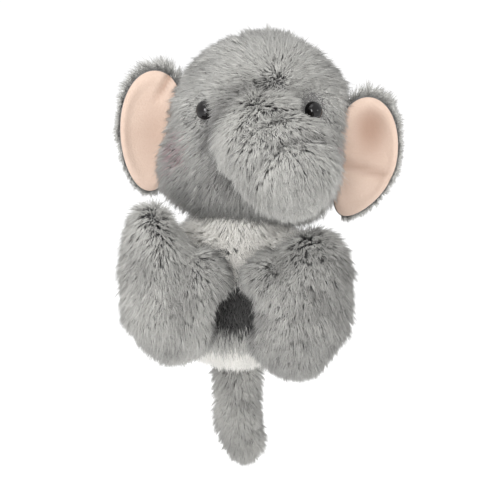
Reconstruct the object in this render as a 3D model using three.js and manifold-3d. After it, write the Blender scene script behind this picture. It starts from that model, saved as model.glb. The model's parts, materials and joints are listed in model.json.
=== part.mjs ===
// A plush elephant hand puppet: a fur-fabric sleeve with a stuffed head, trunk, ears, arms and tail.
// Millimetres, +Z up, the face towards -Y. The origin is the centre of the hand opening at the back.

import Module from 'manifold-3d';
import * as THREE from 'three';
import { mergeVertices } from 'three/addons/utils/BufferGeometryUtils.js';

const wasm = await Module();
wasm.setup();

// ---- Driving dimensions ----

// Fabrics and the clearances between layers
const furThickness = 3;
const liningThickness = 1.2;
const layerGap = 0.5;
const seamGap = 0.4;

// Sleeve of the body, from the hem at y = 0 to the rounded chest
const bodyLength = 85;
const hemHalfWidth = 43;
const chestHalfWidth = 44;
const bodyHalfHeight = 42;
const chestDepth = 34;
const bellyHalfWidth = 31;
const bellyBack = 26;
const hemDepth = 6;
const hemLip = 1.6;

// Care label, a blank tab inside the hem
const labelWidth = 14;
const labelLength = 24;
const labelThickness = 0.8;

// Neck
const neckX = 3;
const neckFromChest = 30;
const neckRadius = 16;
const neckWall = 2;
const neckRoom = 2.5;
const headRoom = 7;
const neckSink = 2.4;
const neckHeight = 20;

// Head, wider at the jowls than at the crown
const headHalfWidth = 48;
const headHalfDepth = 48;
const headHalfHeight = 51;
const headX = 12;
const headForward = 2;
const headLift = 8;
const headRoll = 4;
const jowl = 3.6;
const gussetHalfWidth = 15;
const chinLevel = -22;

// Finger pocket in the head
const pocketRadius = 12;
const pocketAboveCuff = 9;
const pocketLength = 34;

// Safety eyes, placed on the face by how far across and up they sit
const eyeAcross = 33;
const eyeUp = { left: 8, right: 12 };
const eyeRadius = 5.6;
const eyeHeight = 4.4;
const shankRadius = 1.5;
const washerRadius = 4.4;
const washerThickness = 1.2;
const washerSink = 1.8;
const shankSpare = 1.4;

// Trunk
const trunkRootRadius = 21;
const trunkFullRadius = 24.5;
const trunkTipRadius = 22;
const trunkRoom = 6;
const trunkSink = 8;
const trunkReach = 42;
const trunkFall = 19;
const trunkAside = 17;

// Ears
const earHalfWidth = 20;
const earHalfHeight = 37;
const earBackThickness = 5;
const earInnerThickness = 3;
const earBorder = 2.5;
const earCup = 7;
const earWiden = 0.12;
const earBehind = 4;
const earTuck = { left: 6, right: 1 };
const earRoom = 3;
const earDrop = { left: 8, right: 15 };
const earLobeSweep = { left: 0, right: 9 };

// Arms, which leave the chest to the front
const shoulderX = 30;
const shoulderUp = 15;
const shoulderClear = 2;
const armRootRadius = 16;
const armRootLength = 34;
const armOut = 8;
const armAhead = 28;
const armHalfWidth = 25.5;
const armHalfDepth = 27;
const armHalfHeight = 43;
const armLean = 6;
const armDrop = { left: 9, right: 17 };
const armSeamOut = 10;
const cuffSide = 2;
const cuffWall = 1.6;
const cuffLength = 9;
const cuffSwing = 1.8;
const stallSide = 3;

// Tail
const tailRadius = 9.5;
const tailTipRadius = 8;
const tailRoom = 3.5;
const tailFromHem = 10;
const tailLength = 46;
const tailAside = 8;
const tailAhead = 2;

// How many flats round a piece
const bodySides = 22;
const headSides = 20;
const limbSides = 16;
const smallSides = 12;

// ---- Fabrics and plastics ----

const greyFur = { color: 0xa3a2a0, roughness: 0.95, metalness: 0 };
const whiteFur = { color: 0xe6e4e0, roughness: 0.95, metalness: 0 };
const peachVelour = { color: 0xe9cdbf, roughness: 0.9, metalness: 0 };
const greyLining = { color: 0x8f8e8c, roughness: 0.8, metalness: 0 };
const whiteFilling = { color: 0xf2f2ef, roughness: 1, metalness: 0 };
const blackBead = { color: 0x0c0c0e, roughness: 0.08, metalness: 0 };
const clearPlastic = { color: 0xdcdcd8, roughness: 0.4, metalness: 0 };
const whiteTape = { color: 0xf4f4f2, roughness: 0.7, metalness: 0 };

// ---- Solids ----

// The geometry as a solid: doubles merged, slivers at the poles dropped, faces outwards.
function solid(geometry) {
  const bare = geometry.index ? geometry.clone() : mergeVertices(geometry);
  bare.deleteAttribute('normal');
  bare.deleteAttribute('uv');
  const merged = mergeVertices(bare);
  const position = merged.attributes.position;
  const corners = [];
  let volume = 0;
  const a = new THREE.Vector3();
  const b = new THREE.Vector3();
  const c = new THREE.Vector3();
  for (let at = 0; at < merged.index.count; at += 3) {
    const face = [merged.index.getX(at), merged.index.getX(at + 1), merged.index.getX(at + 2)];
    if (new Set(face).size < 3) continue;
    a.fromBufferAttribute(position, face[0]);
    b.fromBufferAttribute(position, face[1]);
    c.fromBufferAttribute(position, face[2]);
    volume += a.dot(b.cross(c));
    corners.push(face);
  }
  const outward = volume > 0 ? corners : corners.map(([p, q, r]) => [p, r, q]);
  return new wasm.Manifold(new wasm.Mesh({
    numProp: 3,
    vertProperties: new Float32Array(position.array),
    triVerts: new Uint32Array(outward.flat()),
  }));
}

// A named mesh of a solid in its own fabric or plastic.
function piece(name, body, finish) {
  const made = body.getMesh();
  const geometry = new THREE.BufferGeometry();
  geometry.setAttribute('position', new THREE.BufferAttribute(new Float32Array(made.vertProperties), 3));
  geometry.setIndex(new THREE.BufferAttribute(new Uint32Array(made.triVerts), 1));
  geometry.computeVertexNormals();
  const mesh = new THREE.Mesh(geometry, new THREE.MeshStandardMaterial(finish));
  mesh.name = name;
  return mesh;
}

function block(low, high) {
  const size = high.clone().sub(low);
  const centre = high.clone().add(low).multiplyScalar(0.5);
  return solid(new THREE.BoxGeometry(size.x, size.y, size.z).translate(centre.x, centre.y, centre.z));
}

// A round bar from one point to another.
function bar(from, to, radius, sides = limbSides) {
  const along = to.clone().sub(from);
  const geometry = new THREE.CylinderGeometry(radius, radius, along.length(), sides);
  const turn = new THREE.Quaternion().setFromUnitVectors(new THREE.Vector3(0, 1, 0), along.normalize());
  geometry.applyQuaternion(turn);
  const middle = from.clone().add(to).multiplyScalar(0.5);
  return solid(geometry.translate(middle.x, middle.y, middle.z));
}

// A bar with a bore through it, both ends open.
function ring(from, to, outer, inner, sides = limbSides) {
  const over = to.clone().sub(from).normalize();
  const boreFrom = from.clone().sub(over);
  const boreTo = to.clone().add(over);
  return bar(from, to, outer, sides).subtract(bar(boreFrom, boreTo, inner, sides));
}

// A stuffed limb: a spun profile bent along a curve. Each stop is [distance along the curve, radius];
// distances past either end run straight on. The frame is built on a direction the curve never takes.
function limb(curve, stops, level = new THREE.Vector3(0, 0, 1)) {
  const profile = stops.map(([distance, radius]) => new THREE.Vector2(radius, distance));
  const geometry = new THREE.LatheGeometry(profile, limbSides);
  const position = geometry.attributes.position;
  const length = curve.getLength();
  const vertex = new THREE.Vector3();
  for (let at = 0; at < position.count; at++) {
    vertex.fromBufferAttribute(position, at);
    const reach = THREE.MathUtils.clamp(vertex.y / length, 0, 1);
    const tangent = curve.getTangentAt(reach);
    const side = new THREE.Vector3().crossVectors(tangent, level).normalize();
    const rise = new THREE.Vector3().crossVectors(side, tangent);
    const centre = curve.getPointAt(reach).addScaledVector(tangent, vertex.y - reach * length);
    centre.addScaledVector(side, vertex.x).addScaledVector(rise, vertex.z);
    position.setXYZ(at, centre.x, centre.y, centre.z);
  }
  return solid(geometry);
}

// The stops of a limb that starts flat at its root and ends in a round cap, set in from its skin.
// The radii are at even distances from the root to the middle of the cap.
function limbStops(length, radii, inset, start) {
  const steps = 5;
  const capSteps = 3;
  const stops = [[start, 0]];
  const along = new THREE.SplineCurve(radii.map((radius, at) => new THREE.Vector2(at, radius)));
  for (let step = 0; step <= steps; step++) {
    const share = step / steps;
    const distance = step === 0 ? start : share * length;
    stops.push([distance, along.getPoint(share).y - inset]);
  }
  const capRadius = radii[radii.length - 1] - inset;
  for (let step = 1; step <= capSteps; step++) {
    const turn = (step / capSteps) * Math.PI / 2;
    stops.push([length + capRadius * Math.sin(turn), step === capSteps ? 0 : capRadius * Math.cos(turn)]);
  }
  return stops;
}

// ---- Body ----

const forward = (distance) => -distance;
const chestStart = bodyLength - chestDepth;
const neck = new THREE.Vector3(neckX, forward(bodyLength - neckFromChest), bodyHalfHeight);

// The half width of the sleeve runs smoothly from the hem's to the chest's.
function sleeveHalfWidth(y) {
  const share = THREE.MathUtils.clamp(-y / chestStart, 0, 1);
  return THREE.MathUtils.lerp(hemHalfWidth, chestHalfWidth, THREE.MathUtils.smoothstep(share, 0, 1));
}

// The sleeve as a solid set in from its skin, with its mouth at the given y.
function sleeveSolid(inset, mouth) {
  const straightSteps = 3;
  const domeSteps = 4;
  const profile = [new THREE.Vector2(0, mouth)];
  for (let step = 0; step <= straightSteps; step++) {
    const y = THREE.MathUtils.lerp(mouth, forward(chestStart), step / straightSteps);
    profile.push(new THREE.Vector2(1, y));
  }
  for (let step = 1; step <= domeSteps; step++) {
    const turn = (step / domeSteps) * Math.PI / 2;
    const radius = step === domeSteps ? 0 : Math.cos(turn);
    profile.push(new THREE.Vector2(radius, forward(chestStart + (chestDepth - inset) * Math.sin(turn))));
  }
  const geometry = new THREE.LatheGeometry(profile, bodySides);
  const position = geometry.attributes.position;
  for (let at = 0; at < position.count; at++) {
    const y = position.getY(at);
    const wide = position.getX(at) * (sleeveHalfWidth(y) - inset);
    const high = position.getZ(at) * (bodyHalfHeight - inset);
    position.setXYZ(at, wide, y, high);
  }
  return solid(geometry);
}

// Where the front of the chest lies behind a point of its outline
function chestFront(x, z) {
  const rise = 1 - (x / chestHalfWidth) ** 2 - (z / bodyHalfHeight) ** 2;
  return forward(chestStart + chestDepth * Math.sqrt(rise));
}

// The cuff and the finger stall sit inside the arm's root
const cuffRadius = armRootRadius - furThickness - cuffSide;
const stallRadius = armRootRadius - furThickness - stallSide;

// The middle of each arm's root, just clear of the chest
const shoulders = {};
for (const [side, sign] of [['left', -1], ['right', 1]]) {
  const nearest = chestFront(shoulderX - armRootRadius, shoulderUp);
  shoulders[side] = new THREE.Vector3(sign * shoulderX, nearest - shoulderClear, shoulderUp);
}

// The neck and shoulder openings, through fur and lining alike
function cutOpenings(shell) {
  const low = neck.clone().setZ(0);
  const high = neck.clone().setZ(bodyHalfHeight + neckHeight);
  let open = shell.subtract(bar(low, high, neckRadius + neckRoom));
  for (const shoulder of Object.values(shoulders)) {
    const behind = shoulder.clone().setY(forward(chestStart));
    open = open.subtract(bar(behind, shoulder, cuffRadius, smallSides));
  }
  return open;
}

// The belly panel's cut: the front of the chest and, behind it, the underside
function bellyCut(grow) {
  const half = bellyHalfWidth + grow;
  const front = bodyLength + furThickness;
  const reach = bodyHalfHeight + furThickness;
  const neckLine = neck.y + grow;
  const chest = block(
    new THREE.Vector3(-half, forward(front), -reach),
    new THREE.Vector3(half, neckLine, reach),
  );
  const underside = block(
    new THREE.Vector3(-half, neckLine - 1, -reach),
    new THREE.Vector3(half, forward(bellyBack) + grow, -reach / 2),
  );
  return chest.add(underside);
}

function bodyPieces() {
  const mouth = forward(hemDepth + seamGap);
  const openMouth = hemDepth;
  const liningOuter = furThickness + layerGap;
  const liningInner = liningOuter + liningThickness;
  const fur = cutOpenings(sleeveSolid(0, mouth).subtract(sleeveSolid(furThickness, openMouth)));
  const lining = cutOpenings(sleeveSolid(liningOuter, mouth).subtract(sleeveSolid(liningInner, openMouth)));
  const hemHigh = bodyHalfHeight + hemLip;
  const hemRing = hemSolid(-hemLip, 0, forward(hemDepth));
  const hemBore = hemSolid(liningInner + hemLip, 1, forward(hemDepth) - 1);
  const labelTop = -(bodyHalfHeight - liningInner - hemLip) + labelThickness;
  const labelBack = forward(hemDepth + hemLip);
  const label = block(
    new THREE.Vector3(-labelWidth / 2, labelBack - labelLength, labelTop - labelThickness),
    new THREE.Vector3(labelWidth / 2, labelBack, labelTop),
  );
  return [
    piece('body_sleeve', fur.subtract(bellyCut(seamGap)), greyFur),
    piece('belly_panel', fur.intersect(bellyCut(0)), whiteFur),
    piece('sleeve_lining', lining, greyLining),
    piece('hem_binding', hemRing.subtract(hemBore), greyLining),
    piece('care_label', label, whiteTape),
  ];
}

// A flat-ended oval plug of the hem's outline, set in from the sleeve's skin
function hemSolid(inset, back, front) {
  const geometry = new THREE.CylinderGeometry(1, 1, back - front, 2 * smallSides);
  geometry.scale(hemHalfWidth - inset, 1, bodyHalfHeight - inset);
  return solid(geometry.translate(0, (back + front) / 2, 0));
}

// ---- Neck ----

const cuffLow = bodyHalfHeight - furThickness - neckSink;

function neckPieces() {
  const low = neck.clone().setZ(cuffLow);
  const high = neck.clone().setZ(cuffLow + neckHeight);
  return [piece('neck_cuff', ring(low, high, neckRadius, neckRadius - neckWall), greyFur)];
}

// ---- Head, in its own frame with its middle at the origin ----

const headCentre = new THREE.Vector3(headX, neck.y - headForward, bodyHalfHeight + headLift + headHalfHeight);
const headTurn = THREE.MathUtils.degToRad(headRoll);

// A world point in the head's frame
function inHead(point) {
  return point.clone().sub(headCentre).applyAxisAngle(new THREE.Vector3(0, 1, 0), -headTurn);
}

// The point of the head's surface, set in from its skin, for a point of the unit sphere.
function headPoint(unit, inset) {
  const round = Math.sqrt(Math.max(0, 1 - unit.z * unit.z));
  const full = unit.z < 0 ? (1 - Math.abs(unit.z) ** jowl) ** (1 / jowl) : round;
  const spread = round > 1e-6 ? full / round : 1;
  return new THREE.Vector3(
    unit.x * spread * (headHalfWidth - inset),
    unit.y * spread * (headHalfDepth - inset),
    unit.z * (headHalfHeight - inset),
  );
}

function headSolid(inset) {
  const geometry = new THREE.SphereGeometry(1, headSides, Math.round(headSides * 0.6)).rotateX(Math.PI / 2);
  const position = geometry.attributes.position;
  for (let at = 0; at < position.count; at++) {
    const point = headPoint(new THREE.Vector3().fromBufferAttribute(position, at), inset);
    position.setXYZ(at, point.x, point.y, point.z);
  }
  return solid(geometry);
}

// Where an eye sits: its point on the skin and the way it faces
function eyeSeat(side, sign) {
  const across = sign * eyeAcross / headHalfWidth;
  const up = eyeUp[side] / headHalfHeight;
  const unit = new THREE.Vector3(across, -Math.sqrt(1 - across * across - up * up), up);
  const facing = new THREE.Vector3(
    unit.x / headHalfWidth,
    unit.y / headHalfDepth,
    unit.z / headHalfHeight,
  ).normalize();
  return { seat: headPoint(unit, 0), facing };
}

const shankLength = furThickness + washerSink + washerThickness + shankSpare;

// A half dome on a shank
function eyeSolid({ seat, facing }) {
  const domeSteps = 4;
  const profile = [new THREE.Vector2(0, -shankLength), new THREE.Vector2(shankRadius, -shankLength)];
  profile.push(new THREE.Vector2(shankRadius, layerGap));
  for (let step = 0; step <= domeSteps; step++) {
    const turn = (step / domeSteps) * Math.PI / 2;
    const radius = step === domeSteps ? 0 : eyeRadius * Math.cos(turn);
    profile.push(new THREE.Vector2(radius, layerGap + eyeHeight * Math.sin(turn)));
  }
  const geometry = new THREE.LatheGeometry(profile, smallSides);
  const turn = new THREE.Quaternion().setFromUnitVectors(new THREE.Vector3(0, 1, 0), facing);
  return solid(geometry.applyQuaternion(turn).translate(seat.x, seat.y, seat.z));
}

const along = ({ seat, facing }, distance) => seat.clone().addScaledVector(facing, distance);

function headPieces() {
  const neckLow = inHead(neck).setZ(-headHalfHeight - headRoom);
  const neckTop = inHead(neck.clone().setZ(cuffLow + neckHeight)).z;
  const hole = (radius, top) => bar(neckLow, neckLow.clone().setZ(top), radius);
  const pocketLow = neckTop + pocketAboveCuff;
  const pocketTop = pocketLow + pocketLength;
  const seats = { left: eyeSeat('left', -1), right: eyeSeat('right', 1) };
  let shell = headSolid(0).subtract(headSolid(furThickness));
  shell = shell.subtract(hole(neckRadius + headRoom, 0));
  let stuffing = headSolid(furThickness + layerGap);
  stuffing = stuffing.subtract(hole(neckRadius + headRoom, neckTop + headRoom - neckRoom));
  stuffing = stuffing.subtract(hole(pocketRadius + layerGap, pocketTop + layerGap));
  const pieces = [];
  for (const [side, seat] of Object.entries(seats)) {
    const deep = along(seat, -shankLength - layerGap);
    shell = shell.subtract(bar(deep, along(seat, eyeHeight), shankRadius + layerGap, smallSides));
    stuffing = stuffing.subtract(bar(deep, along(seat, 0), washerRadius + layerGap, smallSides));
    const washerOuter = along(seat, -furThickness - washerSink);
    const washerInner = along(seat, -furThickness - washerSink - washerThickness);
    const washer = ring(washerOuter, washerInner, washerRadius, shankRadius + seamGap, smallSides);
    pieces.push(piece(`eye_${side}`, eyeSolid(seat), blackBead));
    pieces.push(piece(`eye_washer_${side}`, washer, clearPlastic));
  }
  const far = 2 * headHalfHeight;
  const chin = block(new THREE.Vector3(-far, -far, -far), new THREE.Vector3(far, 0, chinLevel));
  const chinSeam = block(
    new THREE.Vector3(-far, -far, -far),
    new THREE.Vector3(far, seamGap, chinLevel + seamGap),
  );
  const strip = block(
    new THREE.Vector3(-gussetHalfWidth, -far, -far),
    new THREE.Vector3(gussetHalfWidth, far, far),
  );
  const seamX = gussetHalfWidth + seamGap;
  const leftSide = block(new THREE.Vector3(-far, -far, -far), new THREE.Vector3(-seamX, far, far));
  const rightSide = block(new THREE.Vector3(seamX, -far, -far), new THREE.Vector3(far, far, far));
  const overChin = shell.subtract(chinSeam);
  const pocketInner = pocketRadius - liningThickness;
  const pocketAt = (z) => neckLow.clone().setZ(z);
  const pocket = bar(pocketAt(pocketLow), pocketAt(pocketTop), pocketRadius).subtract(
    bar(pocketAt(pocketLow - 1), pocketAt(pocketTop - liningThickness), pocketInner),
  );
  pieces.push(piece('head_panel_left', overChin.intersect(leftSide), greyFur));
  pieces.push(piece('head_panel_right', overChin.intersect(rightSide), greyFur));
  pieces.push(piece('head_gusset', overChin.intersect(strip), greyFur));
  pieces.push(piece('chin_panel', shell.intersect(chin), greyFur));
  pieces.push(piece('head_stuffing', stuffing, whiteFilling));
  pieces.push(piece('head_finger_pocket', pocket, greyLining));
  return pieces;
}

// ---- Trunk, in the head's frame ----

function trunkPieces() {
  const root = new THREE.Vector3(0, trunkSink - headHalfDepth, 0);
  const step = (aside, reach, fall) => root.clone().add(
    new THREE.Vector3(aside * trunkAside, -reach * trunkReach, -fall * trunkFall),
  );
  const curve = new THREE.CatmullRomCurve3([
    root,
    step(0.18, 0.4, 0.1),
    step(0.53, 0.76, 0.42),
    step(1, 1, 1),
  ]);
  const radii = [trunkRootRadius, trunkFullRadius, trunkFullRadius, trunkTipRadius];
  const length = curve.getLength();
  const start = forward(trunkRoom);
  const skin = limb(curve, limbStops(length, radii, 0, start));
  const inside = limb(curve, limbStops(length, radii, furThickness, start - trunkRoom));
  const filling = limb(curve, limbStops(length, radii, furThickness + layerGap, start));
  const face = headSolid(-trunkRoom);
  const shell = skin.subtract(inside).subtract(face);
  const far = 2 * headHalfHeight;
  const seamLevel = (grow) => {
    // The side seams run down the slope of the trunk
    const slab = new THREE.BoxGeometry(2 * far, 4 * far, 2 * far).translate(0, 0, far + grow);
    slab.rotateX(Math.atan2(trunkFall, trunkReach));
    return solid(slab.translate(root.x, root.y, root.z));
  };
  return [
    piece('trunk_top_panel', shell.intersect(seamLevel(seamGap)), greyFur),
    piece('trunk_under_panel', shell.subtract(seamLevel(0)), greyFur),
    piece('trunk_stuffing', filling.subtract(face), whiteFilling),
  ];
}

// ---- Ears, in the head's frame ----

// A cupped oval pad, wider at its top, its outer edge brought forward and its lobe swung under the cheek
function earPad(side, sign, centre, halfWidth, halfHeight, thickness) {
  const geometry = new THREE.SphereGeometry(1, limbSides, 10).rotateX(Math.PI / 2);
  const position = geometry.attributes.position;
  for (let at = 0; at < position.count; at++) {
    const across = position.getX(at);
    const up = position.getZ(at);
    const width = halfWidth * (1 + earWiden * up);
    const cup = earCup * (up * up + 2 * across * across) / 3;
    const drop = Math.max(0, -up);
    const sweep = earLobeSweep[side] * drop * drop;
    position.setXYZ(
      at,
      centre.x + sign * (across * width - sweep),
      centre.y + position.getY(at) * thickness / 2 - cup,
      centre.z + up * halfHeight,
    );
  }
  return solid(geometry);
}

function earPieces(side, sign) {
  const out = headHalfWidth + earHalfWidth - earTuck[side];
  const centre = new THREE.Vector3(sign * out, earBehind, -earDrop[side]);
  const face = headSolid(-earRoom);
  const back = earPad(side, sign, centre, earHalfWidth, earHalfHeight, earBackThickness);
  const forwardBy = (earBackThickness + earInnerThickness) / 2 + layerGap;
  const innerCentre = centre.clone().add(new THREE.Vector3(0, -forwardBy, 0));
  const innerHalfWidth = earHalfWidth - earBorder;
  const innerHalfHeight = earHalfHeight - earBorder;
  const inner = earPad(side, sign, innerCentre, innerHalfWidth, innerHalfHeight, earInnerThickness);
  return [
    piece(`ear_back_${side}`, back.subtract(face), greyFur),
    piece(`ear_inner_${side}`, inner.subtract(face), peachVelour),
  ];
}

// ---- Arms ----

function armPieces(side, sign) {
  const shoulder = shoulders[side];
  const step = (x, y, z) => shoulder.clone().add(new THREE.Vector3(sign * x, y, z));
  const ahead = (distance) => step(0, forward(distance), 0);
  const middle = step(armOut, forward(armAhead), -armDrop[side]);
  // The padded oval of the arm and paw with its root tube, set in from the skin
  const padded = (inset, rootBack) => {
    const oval = new THREE.SphereGeometry(1, limbSides, smallSides).rotateX(Math.PI / 2);
    oval.scale(armHalfWidth - inset, armHalfDepth - inset, armHalfHeight - inset);
    oval.rotateY(sign * THREE.MathUtils.degToRad(armLean));
    oval.translate(middle.x, middle.y, middle.z);
    return solid(oval).add(bar(ahead(-rootBack), ahead(armRootLength - inset), armRootRadius - inset));
  };
  const skin = padded(0, 0);
  const inside = padded(furThickness, furThickness);
  const filling = padded(furThickness + layerGap, 0);
  const stallFrom = cuffLength + cuffSwing;
  const stallTo = armRootLength - furThickness - 2 * layerGap;
  const cuffRoom = bar(ahead(-cuffLength), ahead(stallFrom), cuffRadius + cuffSwing);
  const stallRoom = bar(ahead(0), ahead(stallTo + layerGap), stallRadius + layerGap);
  const stall = bar(ahead(stallFrom), ahead(stallTo), stallRadius, smallSides).subtract(
    bar(ahead(0), ahead(stallTo - liningThickness), stallRadius - liningThickness, smallSides),
  );
  const cuff = ring(ahead(0), ahead(cuffLength), cuffRadius, cuffRadius - cuffWall, smallSides);
  const shell = skin.subtract(inside).subtract(cuffRoom);
  const far = 2 * (armAhead + armHalfHeight + bodyLength);
  const seam = shoulder.x + sign * armSeamOut;
  const outerHalf = (grow) => {
    const edge = seam + sign * grow;
    const other = seam + sign * far;
    return block(
      new THREE.Vector3(Math.min(edge, other), -far, -far),
      new THREE.Vector3(Math.max(edge, other), far, far),
    );
  };
  return [
    piece(`shoulder_cuff_${side}`, cuff, greyLining),
    piece(`arm_outer_panel_${side}`, shell.intersect(outerHalf(seamGap)), greyFur),
    piece(`arm_inner_panel_${side}`, shell.subtract(outerHalf(0)), greyFur),
    piece(`arm_stuffing_${side}`, filling.subtract(stallRoom).subtract(cuffRoom), whiteFilling),
    piece(`arm_finger_stall_${side}`, stall, greyLining),
  ];
}

// ---- Tail ----

function tailPieces() {
  const top = -(bodyHalfHeight + hemLip + tailRoom + tailRadius);
  const root = new THREE.Vector3(0, forward(tailFromHem), top);
  const step = (aside, ahead, down) => root.clone().add(
    new THREE.Vector3(aside * tailAside, forward(ahead * tailAhead), -down * tailLength),
  );
  const curve = new THREE.CatmullRomCurve3([
    root,
    step(0.06, 0, 0.39),
    step(0.38, 0.5, 0.74),
    step(1, 1, 1),
  ]);
  const radii = [tailRadius, tailRadius, tailRadius, tailTipRadius];
  const length = curve.getLength();
  const level = new THREE.Vector3(0, 1, 0);
  // The root is a round end like the tip
  const stops = (inset) => {
    const round = tailRadius - inset;
    const turn = Math.PI / 6;
    const dome = [
      [-round, 0],
      [-round * Math.cos(turn), round * Math.sin(turn)],
      [-round * Math.sin(turn), round * Math.cos(turn)],
    ];
    return [...dome, ...limbStops(length, radii, inset, 0).slice(1)];
  };
  const skin = limb(curve, stops(0), level);
  const inside = limb(curve, stops(furThickness), level);
  const filling = limb(curve, stops(furThickness + layerGap), level);
  const mouth = bar(root, root.clone().setZ(root.z + 2 * tailRadius), tailRadius / 2, smallSides);
  return [
    piece('tail_skin', skin.subtract(inside).subtract(mouth), greyFur),
    piece('tail_stuffing', filling, whiteFilling),
  ];
}

// ---- Assembly ----

const group = new THREE.Group();
const head = new THREE.Group();
head.position.copy(headCentre);
head.rotation.y = headTurn;
head.add(...headPieces(), ...trunkPieces());
for (const [side, sign] of [['left', -1], ['right', 1]]) {
  head.add(...earPieces(side, sign));
  group.add(...armPieces(side, sign));
}
group.add(...bodyPieces(), ...neckPieces(), head, ...tailPieces());

export default group;
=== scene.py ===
"""A plush elephant hand puppet of fur fabric: body, head, trunk, ears, arms and tail."""

import json
import math

import bmesh
import bpy
import numpy as np
from mathutils import Matrix, Vector, kdtree, noise


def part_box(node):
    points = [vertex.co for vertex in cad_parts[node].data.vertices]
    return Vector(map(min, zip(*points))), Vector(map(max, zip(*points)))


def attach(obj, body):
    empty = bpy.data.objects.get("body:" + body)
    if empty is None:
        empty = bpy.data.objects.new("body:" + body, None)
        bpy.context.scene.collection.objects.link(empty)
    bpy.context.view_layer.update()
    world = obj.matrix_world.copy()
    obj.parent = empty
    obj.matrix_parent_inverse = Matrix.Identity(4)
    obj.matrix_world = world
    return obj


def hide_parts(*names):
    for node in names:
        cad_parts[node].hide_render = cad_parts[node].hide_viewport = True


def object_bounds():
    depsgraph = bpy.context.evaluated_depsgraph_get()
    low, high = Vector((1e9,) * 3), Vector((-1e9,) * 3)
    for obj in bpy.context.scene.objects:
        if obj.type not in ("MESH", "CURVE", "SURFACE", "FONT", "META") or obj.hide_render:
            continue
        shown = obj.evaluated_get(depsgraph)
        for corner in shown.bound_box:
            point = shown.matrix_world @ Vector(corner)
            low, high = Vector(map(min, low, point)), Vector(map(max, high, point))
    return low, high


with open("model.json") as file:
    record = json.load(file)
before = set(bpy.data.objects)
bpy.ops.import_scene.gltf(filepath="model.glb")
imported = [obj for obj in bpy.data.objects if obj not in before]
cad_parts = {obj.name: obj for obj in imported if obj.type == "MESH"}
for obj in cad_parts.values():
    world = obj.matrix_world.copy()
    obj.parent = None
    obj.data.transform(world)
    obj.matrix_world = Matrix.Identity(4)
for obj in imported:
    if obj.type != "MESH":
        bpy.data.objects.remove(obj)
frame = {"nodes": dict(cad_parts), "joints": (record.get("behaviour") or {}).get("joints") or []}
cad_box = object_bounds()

noise.seed_set(7)  # the noise's own offsets are otherwise taken from the clock

MM = 0.001
SIDES = (("left", -1), ("right", 1))


# ---- Places, worked out from the frame ----

def middle(*nodes):
    """The middle of the box round these nodes."""
    low, high = reach(*nodes)
    return (low + high) / 2


def reach(*nodes):
    """The lowest and highest corners of the box round these nodes."""
    boxes = [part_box(node) for node in nodes]
    low = Vector([min(box[0][axis] for box in boxes) for axis in range(3)])
    high = Vector([max(box[1][axis] for box in boxes) for axis in range(3)])
    return low, high


joints = {joint["name"]: joint for joint in frame["joints"]}
HEAD_NODES = ["head_panel_left", "head_panel_right", "head_gusset", "chin_panel"]
TRUNK_NODES = ["trunk_top_panel", "trunk_under_panel"]
head_centre = middle(*HEAD_NODES)
head_up = Vector(joints["ear_flap_left"]["axis"]).normalized()
head_side = Vector(joints["trunk_lift"]["axis"]).normalized()
EYES = {side: middle(f"eye_{side}") for side, sign in SIDES}
# the left eye is sewn nearer the trunk, the right one a little nearer the middle
EYES["left"].x += 3 * MM
EYES["right"].x -= 0.8 * MM
EYE_FACING = {side: Vector((sign * 0.45, -0.86, 0.2)).normalized() for side, sign in SIDES}
trunk_root = Vector(joints["trunk_lift"]["pos_m"])
trunk_low, trunk_high = reach(*TRUNK_NODES)
body_low, body_high = reach("body_sleeve", "belly_panel")
hem_low, hem_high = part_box("hem_binding")
tail_low, tail_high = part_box("tail_skin")


# ---- Shader building ----

class Wire:
    """A shader socket that takes part in arithmetic."""

    def __init__(self, finish, socket):
        self.finish = finish
        self.socket = socket

    def math(self, operation, other):
        return self.finish.node("ShaderNodeMath", {"operation": operation}, [self, other])

    def __add__(self, other):
        return self.math("ADD", other)

    __radd__ = __add__

    def __mul__(self, other):
        return self.math("MULTIPLY", other)

    __rmul__ = __mul__

    def clamp(self):
        return self.finish.node("ShaderNodeClamp", {}, [self])


class Finish:
    """A material with a Principled shader and short ways to add its nodes."""

    def __init__(self, name, **constants):
        self.material = bpy.data.materials.new(name)
        self.material.use_nodes = True
        self.tree = self.material.node_tree
        self.shader = self.tree.nodes["Principled BSDF"]
        for socket, value in constants.items():
            self.shader.inputs[socket.replace("_", " ")].default_value = value

    def node(self, kind, settings, sockets=(), output=0):
        made = self.tree.nodes.new(kind)
        for key, value in settings.items():
            setattr(made, key, value)
        pairs = sockets.items() if isinstance(sockets, dict) else enumerate(sockets)
        for key, value in pairs:
            self.join(value, made.inputs[key])
        return Wire(self, made.outputs[output])

    def join(self, value, socket):
        if isinstance(value, Wire):
            self.tree.links.new(value.socket, socket)
        else:
            socket.default_value = value

    def object_place(self):
        return self.node("ShaderNodeTexCoord", {}, (), "Object")

    def noise(self, scale, detail):
        return self.node("ShaderNodeTexNoise", {}, {
            "Vector": self.object_place(), "Scale": scale, "Detail": detail})

    def mix(self, factor, first, second):
        """Two colours mixed: of a mix node's sockets, 6 and 7 take colours, and its output 2 gives one."""
        colours = {0: factor, 6: self.rgba(first), 7: self.rgba(second)}
        return self.node("ShaderNodeMix", {"data_type": "RGBA"}, colours, 2)

    @staticmethod
    def rgba(colour):
        return colour if isinstance(colour, Wire) else (*colour, 1)

    def colour(self, value):
        self.join(self.rgba(value), self.shader.inputs["Base Color"])
        return self

    def rough(self, value):
        self.join(value, self.shader.inputs["Roughness"])
        return self

    def bump(self, height, distance, strength):
        sockets = {"Height": height, "Distance": distance, "Strength": strength}
        self.join(self.node("ShaderNodeBump", {}, sockets), self.shader.inputs["Normal"])
        return self


def linear(*channels):
    """A colour given as 0 to 255 display values, in the shader's linear values."""
    return tuple((c / 255 / 12.92) if c <= 10 else ((c / 255 + 0.055) / 1.055) ** 2.4 for c in channels)


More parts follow.
